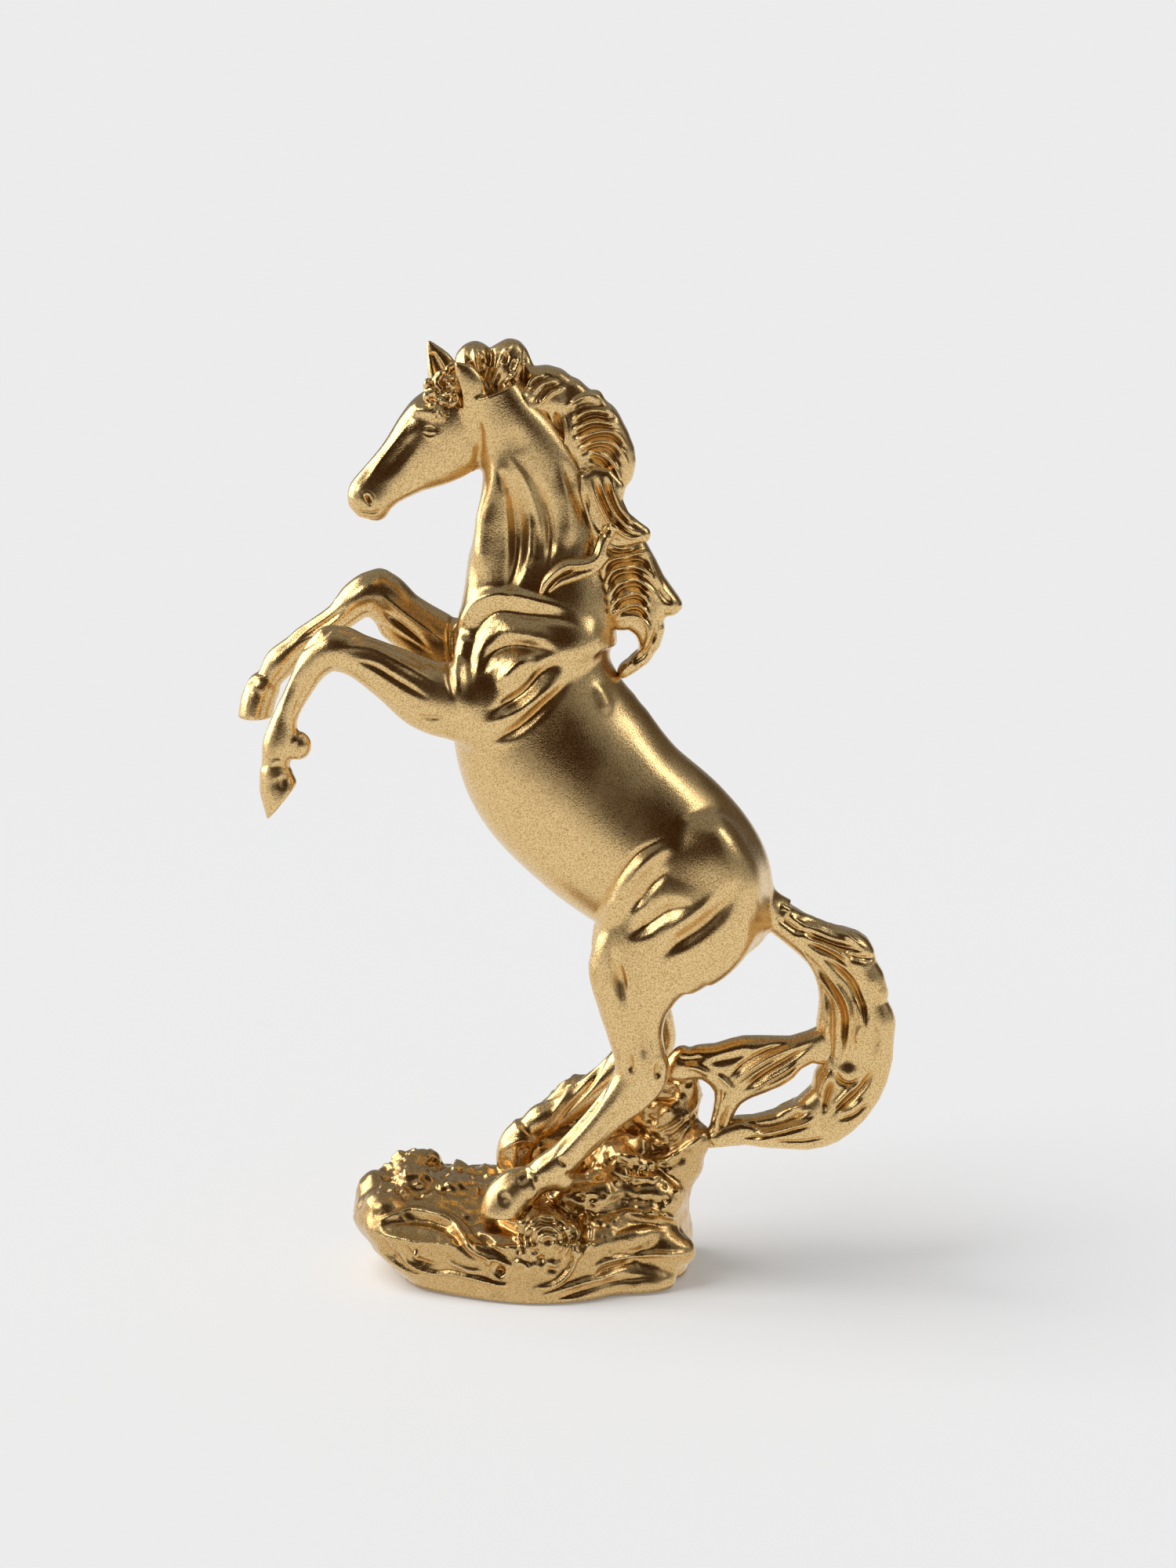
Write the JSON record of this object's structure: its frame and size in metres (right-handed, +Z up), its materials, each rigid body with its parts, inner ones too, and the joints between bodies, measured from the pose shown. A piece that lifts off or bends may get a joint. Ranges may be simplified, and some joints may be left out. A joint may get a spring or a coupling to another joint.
{
  "type": "rearing horse statuette",
  "caption": "Cast statuette of a rearing horse with a swept mane and tail, pinned by its hind hooves to a rough rock base with a felt underside",
  "frame": {"origin": "on the ground, on the underside of the felt pad, under the middle of the base", "axes": "+Z up, the horse faces -X, its left side is -Y and its right side is +Y"},
  "size_m": [0.2073, 0.0627, 0.2989],
  "materials": {
    "gilt_casting": "grainy gold leaf over a bronze-coloured casting, satin",
    "steel": "plain ground steel",
    "felt": "black pressed felt"
  },
  "bodies": {
    "root": {"rock_base": "gilt_casting", "torso": "gilt_casting", "neck": "gilt_casting", "head": "gilt_casting", "forelock": "gilt_casting", "mane_crest": "gilt_casting", "mane_side_lock": "gilt_casting", "mane_lower_lock": "gilt_casting", "left_foreleg": "gilt_casting", "right_foreleg": "gilt_casting", "left_hind_leg": "gilt_casting", "right_hind_leg": "gilt_casting", "tail_plume": "gilt_casting", "tail_strand": "gilt_casting", "head_dowel": "steel", "neck_dowel": "steel", "left_foreleg_dowel": "steel", "right_foreleg_dowel": "steel", "left_thigh_dowel": "steel", "right_thigh_dowel": "steel", "tail_dowel": "steel", "tail_pin": "steel", "left_hoof_stud": "steel", "right_hoof_stud": "steel", "stud_washers": "steel", "stud_nuts": "steel", "felt_pad": "felt"}
  },
  "joints": []
}
